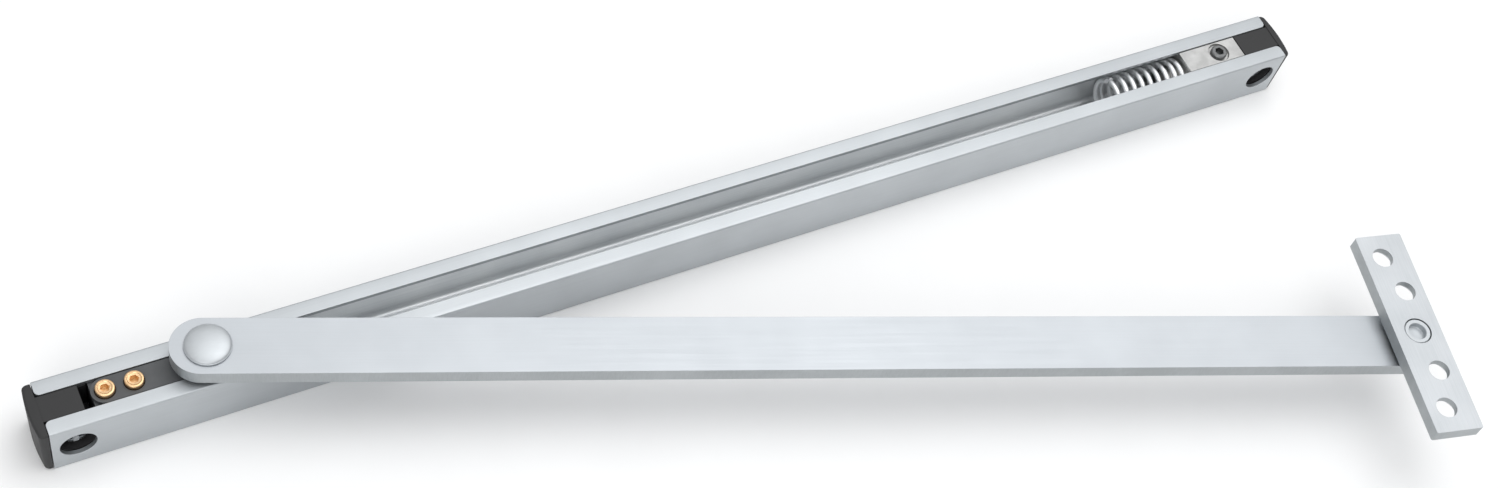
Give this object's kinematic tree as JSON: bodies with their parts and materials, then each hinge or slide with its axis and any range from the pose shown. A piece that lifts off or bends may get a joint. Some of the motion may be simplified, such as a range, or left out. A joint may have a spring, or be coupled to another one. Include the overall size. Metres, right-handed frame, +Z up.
{
  "type": "overhead door stop and holder",
  "caption": "Overhead door stop: slotted rail for the door, friction slide with pivot, flat swinging arm, small screw-down frame bracket and a buffer spring with its stop in the rail.",
  "frame": {"origin": "on the rail's flat back face, which lies on the door, at the middle of the rail's length and height", "axes": "+X along the rail towards the buffer spring, +Y out of the back face into the door, +Z up, out of the rail's slot"},
  "size_m": [0.5971, 0.2342, 0.0454],
  "materials": {
    "satin_aluminium": "satin clear anodised extrusion",
    "satin_steel": "satin plated flat bar with fine long grain",
    "cast_zinc": "light die-cast metal, fine matt skin",
    "black_moulding": "black moulded nylon",
    "grey_moulding": "dark grey moulded nylon",
    "bright_steel": "bright zinc-plated steel",
    "dark_steel": "black-oxide steel",
    "copper_plate": "bright copper plating",
    "bronze": "sintered bronze",
    "brake_pad": "pressed friction lining"
  },
  "bodies": {
    "channel": {"channel": "satin_aluminium", "left_end_block": "black_moulding", "right_end_block": "black_moulding", "left_block_screw": "bright_steel", "right_block_screw": "bright_steel", "stop_block": "cast_zinc", "stop_pressure_plate": "dark_steel", "buffer_spring": "bright_steel"},
    "stop_screw": {"stop_screw": "dark_steel"},
    "spring_tip": {"spring_end_coil": "bright_steel"},
    "slide": {"slide_block": "grey_moulding", "slide_bush": "bronze", "slide_washer": "dark_steel", "friction_shoe": "brake_pad", "shoe_spring_1": "bright_steel", "shoe_spring_2": "bright_steel"},
    "adjusting_screw_1": {"adjusting_screw_1": "copper_plate"},
    "adjusting_screw_2": {"adjusting_screw_2": "copper_plate"},
    "arm": {"arm_bar": "satin_steel", "pivot_rivet": "satin_steel", "rivet_tail_washer": "dark_steel", "arm_bush": "bronze"},
    "bracket": {"bracket_plate": "satin_steel", "bracket_stud": "satin_steel", "bracket_washer": "dark_steel"}
  },
  "joints": [
    {"name": "slide_travel", "type": "slide", "parent": "channel", "child": "slide", "axis": [1, 0, 0], "range_m": [0, 0.4061]},
    {"name": "arm_pivot", "type": "hinge", "parent": "slide", "child": "arm", "pos_m": [-0.22785, -0.0127, 0.02], "axis": [0, 0, 1], "range_deg": [-90.4, 19.5]},
    {"name": "bracket_pivot", "type": "hinge", "parent": "arm", "child": "bracket", "pos_m": [0.2525, -0.18318, 0.028], "axis": [0, 0, 1], "continuous": true},
    {"name": "spring_compress", "type": "slide", "parent": "channel", "child": "spring_tip", "axis": [1, 0, 0], "range_m": [0, 0.012], "stiffness_N_per_m": 6400, "deforming": ["buffer_spring"]},
    {"name": "adjusting_screw_1_turn", "type": "hinge", "parent": "slide", "child": "adjusting_screw_1", "pos_m": [-0.26895, -0.0127, 0.01], "axis": [0, 0, 1], "range_deg": [-180, 180]},
    {"name": "adjusting_screw_2_turn", "type": "hinge", "parent": "slide", "child": "adjusting_screw_2", "pos_m": [-0.25745, -0.0127, 0.01], "axis": [0, 0, 1], "range_deg": [-180, 180]},
    {"name": "stop_screw_turn", "type": "hinge", "parent": "channel", "child": "stop_screw", "pos_m": [0.26315, -0.0127, 0.01], "axis": [0, 0, 1], "range_deg": [-180, 180]}
  ]
}
